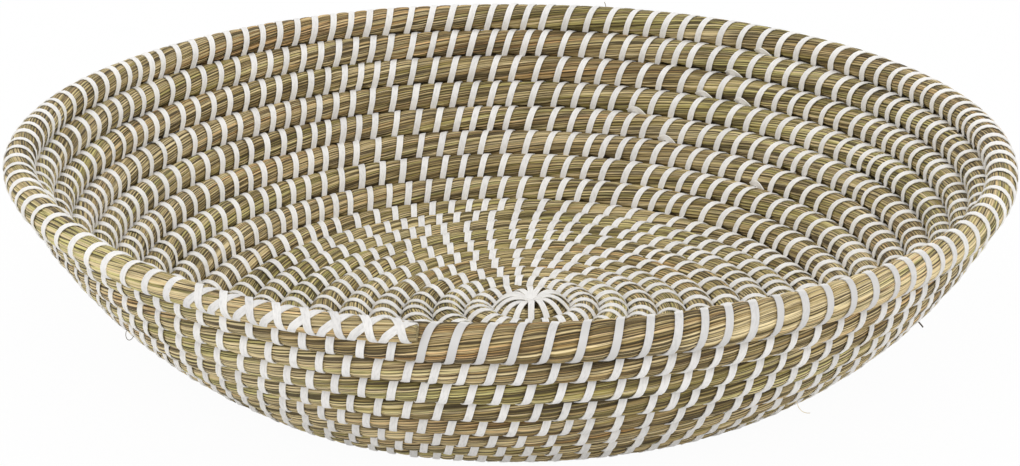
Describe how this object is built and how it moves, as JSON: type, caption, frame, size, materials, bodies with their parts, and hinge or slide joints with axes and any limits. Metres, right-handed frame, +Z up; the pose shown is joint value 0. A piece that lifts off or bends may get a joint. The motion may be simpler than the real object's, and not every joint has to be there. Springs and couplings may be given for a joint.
{
  "type": "coiled basket",
  "caption": "Shallow round basket coiled from one seagrass bundle, bound row to row with flat white strip, with a flat base, a flared wall and a cross-lashed rim end.",
  "frame": {"origin": "middle of the basket's outline, on the surface it stands on", "axes": "+Z up out of the bowl; -Y towards the viewer of the picture; the coil ends on the rim at the front, left of the middle"},
  "size_m": [0.3978, 0.3954, 0.0888],
  "materials": {
    "seagrass": "matt dried plant stems, streaked khaki to tan",
    "white_strip": "satin off-white flat strip"
  },
  "bodies": {
    "root": {"base_coil": "seagrass", "lower_wall_coil": "seagrass", "upper_wall_coil": "seagrass", "rim_coil": "seagrass", "base_binding": "white_strip", "lower_wall_binding": "white_strip", "upper_wall_binding": "white_strip", "rim_binding": "white_strip", "rim_end_strip": "white_strip", "rim_cross_lashing": "white_strip", "centre_star": "white_strip"}
  },
  "joints": []
}
